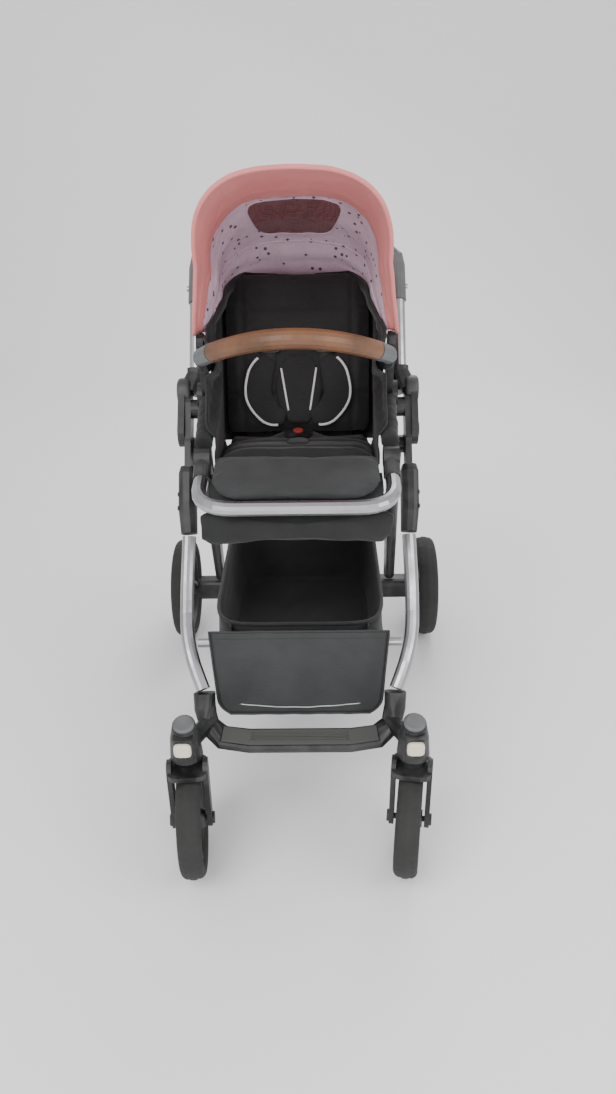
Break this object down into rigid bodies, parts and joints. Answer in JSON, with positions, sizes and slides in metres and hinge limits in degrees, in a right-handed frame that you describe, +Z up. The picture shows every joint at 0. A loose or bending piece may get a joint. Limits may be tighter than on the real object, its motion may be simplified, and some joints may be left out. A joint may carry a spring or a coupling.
{
  "type": "baby stroller",
  "caption": "Folding pushchair with swivel front casters, braked rear wheels, reclining seat, canopy, bumper bar and basket.",
  "frame": {"origin": "under the middle of the bounding box, on the ground", "axes": "+X across to the right when seen from the front, +Y from the front wheels to the rear wheels, +Z up"},
  "size_m": [0.615, 0.9205, 1.0833],
  "materials": {
    "black_plastic": "satin black",
    "grey_plastic": "satin grey",
    "cream_plastic": "satin cream",
    "red_plastic": "satin",
    "silver_tube": "brushed",
    "leather": "grained",
    "canopy_fabric": "woven",
    "grey_fabric": "woven",
    "panel_fabric": "coated",
    "dark_fabric": "woven",
    "footplate_rubber": "ribbed",
    "tyre": "foam"
  },
  "bodies": {
    "chassis": {"footplate": "black_plastic", "footplate_tread": "footplate_rubber", "crossbar": "silver_tube", "basket": "dark_fabric", "basket_panel": "panel_fabric", "caster_cap_left": "grey_plastic", "caster_cap_right": "grey_plastic", "front_tube_left": "silver_tube", "front_tube_right": "silver_tube", "joint_housing_left": "black_plastic", "joint_housing_right": "black_plastic"},
    "rear_frame": {"rear_leg_left": "black_plastic", "rear_leg_right": "black_plastic", "rear_axle": "black_plastic"},
    "brake": {"brake_pedal": "black_plastic"},
    "handle_lower": {"handle_hub_left": "black_plastic", "handle_hub_right": "black_plastic", "handle_tube_left": "silver_tube", "handle_tube_right": "silver_tube"},
    "handle_upper": {"handle_sleeve_left": "grey_plastic", "handle_sleeve_right": "grey_plastic", "handlebar": "leather"},
    "seat": {"seat_cushion": "dark_fabric", "crotch_pad": "dark_fabric", "buckle": "black_plastic", "canopy_rear": "canopy_fabric", "seat_frame_left": "black_plastic", "seat_frame_right": "black_plastic", "seat_rail_left": "dark_fabric", "seat_rail_right": "dark_fabric"},
    "seat_back": {"seat_back": "dark_fabric", "shoulder_pad_left": "dark_fabric", "shoulder_pad_right": "dark_fabric"},
    "footrest": {"footrest_bar": "silver_tube", "calf_pad": "grey_fabric", "leg_pouch": "dark_fabric", "footrest_cuff_left": "black_plastic", "footrest_cuff_right": "black_plastic"},
    "bumper": {"bumper_bar": "leather", "bumper_cap_left": "grey_plastic", "bumper_cap_right": "grey_plastic"},
    "canopy_mid": {"canopy_mid": "canopy_fabric"},
    "canopy_front": {"canopy_front": "canopy_fabric"},
    "harness_release": {"buckle_button": "red_plastic"},
    "caster_left": {"caster_fork_left": "black_plastic"},
    "front_wheel_left": {"front_tyre_left": "tyre", "front_rim_left": "grey_plastic"},
    "rear_wheel_left": {"rear_tyre_left": "tyre", "rear_rim_left": "grey_plastic"},
    "swivel_lock_left": {"swivel_lock_left": "cream_plastic"},
    "fold_button_left": {"fold_button_left": "grey_plastic"},
    "height_button_left": {"height_button_left": "silver_tube"},
    "caster_right": {"caster_fork_right": "black_plastic"},
    "front_wheel_right": {"front_tyre_right": "tyre", "front_rim_right": "grey_plastic"},
    "rear_wheel_right": {"rear_tyre_right": "tyre", "rear_rim_right": "grey_plastic"},
    "swivel_lock_right": {"swivel_lock_right": "cream_plastic"},
    "fold_button_right": {"fold_button_right": "grey_plastic"},
    "height_button_right": {"height_button_right": "silver_tube"}
  },
  "joints": [
    {"name": "caster_swivel_left", "type": "hinge", "parent": "chassis", "child": "caster_left", "pos_m": [-0.185, -0.34265, 0.215], "axis": [0, 0, 1], "continuous": true},
    {"name": "front_wheel_spin_left", "type": "hinge", "parent": "caster_left", "child": "front_wheel_left", "pos_m": [-0.18326, -0.36257, 0.098], "axis": [0.9962, 0.0872, 0], "continuous": true},
    {"name": "rear_wheel_spin_left", "type": "hinge", "parent": "rear_frame", "child": "rear_wheel_left", "pos_m": [-0.2835, 0.34335, 0.1165], "axis": [1, 0, 0], "continuous": true},
    {"name": "swivel_lock_slide_left", "type": "slide", "parent": "chassis", "child": "swivel_lock_left", "axis": [0, 0, -1], "range_m": [0, 0.008]},
    {"name": "fold_button_press_left", "type": "slide", "parent": "handle_lower", "child": "fold_button_left", "axis": [1, 0, 0], "range_m": [0, 0.002], "stiffness_N_per_m": 600, "springref_m": -0.003},
    {"name": "height_button_press_left", "type": "slide", "parent": "handle_upper", "child": "height_button_left", "axis": [1, 0, 0], "range_m": [0, 0.002], "stiffness_N_per_m": 400, "springref_m": -0.003},
    {"name": "caster_swivel_right", "type": "hinge", "parent": "chassis", "child": "caster_right", "pos_m": [0.185, -0.34265, 0.215], "axis": [0, 0, 1], "continuous": true},
    {"name": "front_wheel_spin_right", "type": "hinge", "parent": "caster_right", "child": "front_wheel_right", "pos_m": [0.18187, -0.3624, 0.098], "axis": [0.9877, -0.1564, 0], "continuous": true},
    {"name": "rear_wheel_spin_right", "type": "hinge", "parent": "rear_frame", "child": "rear_wheel_right", "pos_m": [0.2835, 0.34335, 0.1165], "axis": [1, 0, 0], "continuous": true},
    {"name": "swivel_lock_slide_right", "type": "slide", "parent": "chassis", "child": "swivel_lock_right", "axis": [0, 0, -1], "range_m": [0, 0.008]},
    {"name": "fold_button_press_right", "type": "slide", "parent": "handle_lower", "child": "fold_button_right", "axis": [-1, 0, 0], "range_m": [0, 0.002], "stiffness_N_per_m": 600, "springref_m": -0.003},
    {"name": "height_button_press_right", "type": "slide", "parent": "handle_upper", "child": "height_button_right", "axis": [-1, 0, 0], "range_m": [0, 0.002], "stiffness_N_per_m": 400, "springref_m": -0.003},
    {"name": "handle_fold", "type": "hinge", "parent": "chassis", "child": "handle_lower", "pos_m": [0, 0.03535, 0.637], "axis": [-1, 0, 0], "range_deg": [0, 80]},
    {"name": "rear_leg_fold", "type": "hinge", "parent": "chassis", "child": "rear_frame", "pos_m": [0, 0.04535, 0.605], "axis": [-1, 0, 0], "range_deg": [0, 30]},
    {"name": "handle_height", "type": "slide", "parent": "handle_lower", "child": "handle_upper", "axis": [0, 0.5742, 0.8187], "range_m": [0, 0.07]},
    {"name": "brake_press", "type": "hinge", "parent": "rear_frame", "child": "brake", "pos_m": [0, 0.34335, 0.1165], "axis": [-1, 0, 0], "range_deg": [0, 15]},
    {"name": "seat_release", "type": "slide", "parent": "chassis", "child": "seat", "axis": [0, 0, 1], "range_m": [0, 0.06]},
    {"name": "seat_recline", "type": "hinge", "parent": "seat", "child": "seat_back", "pos_m": [0, 0.08335, 0.615], "axis": [-1, 0, 0], "range_deg": [0, 35]},
    {"name": "footrest_tilt", "type": "hinge", "parent": "seat", "child": "footrest", "pos_m": [0, -0.09665, 0.642], "axis": [1, 0, 0], "range_deg": [0, 50]},
    {"name": "bumper_pull", "type": "slide", "parent": "seat", "child": "bumper", "axis": [0, -0.8742, 0.4856], "range_m": [0, 0.05]},
    {"name": "canopy_mid_fold", "type": "hinge", "parent": "seat", "child": "canopy_mid", "pos_m": [0, 0.01535, 0.8], "axis": [-1, 0, 0], "range_deg": [0, 24]},
    {"name": "canopy_front_fold", "type": "hinge", "parent": "canopy_mid", "child": "canopy_front", "pos_m": [0, 0.01535, 0.8], "axis": [-1, 0, 0], "range_deg": [0, 32]},
    {"name": "buckle_press", "type": "slide", "parent": "seat", "child": "harness_release", "axis": [0, 0, -1], "range_m": [0, 0.002], "stiffness_N_per_m": 300, "springref_m": -0.003}
  ],
  "couplings": [
    {"joint": "rear_leg_fold", "follows": "handle_fold", "ratio": 0.375},
    {"joint": "canopy_mid_fold", "follows": "canopy_front_fold", "ratio": 0.75}
  ]
}
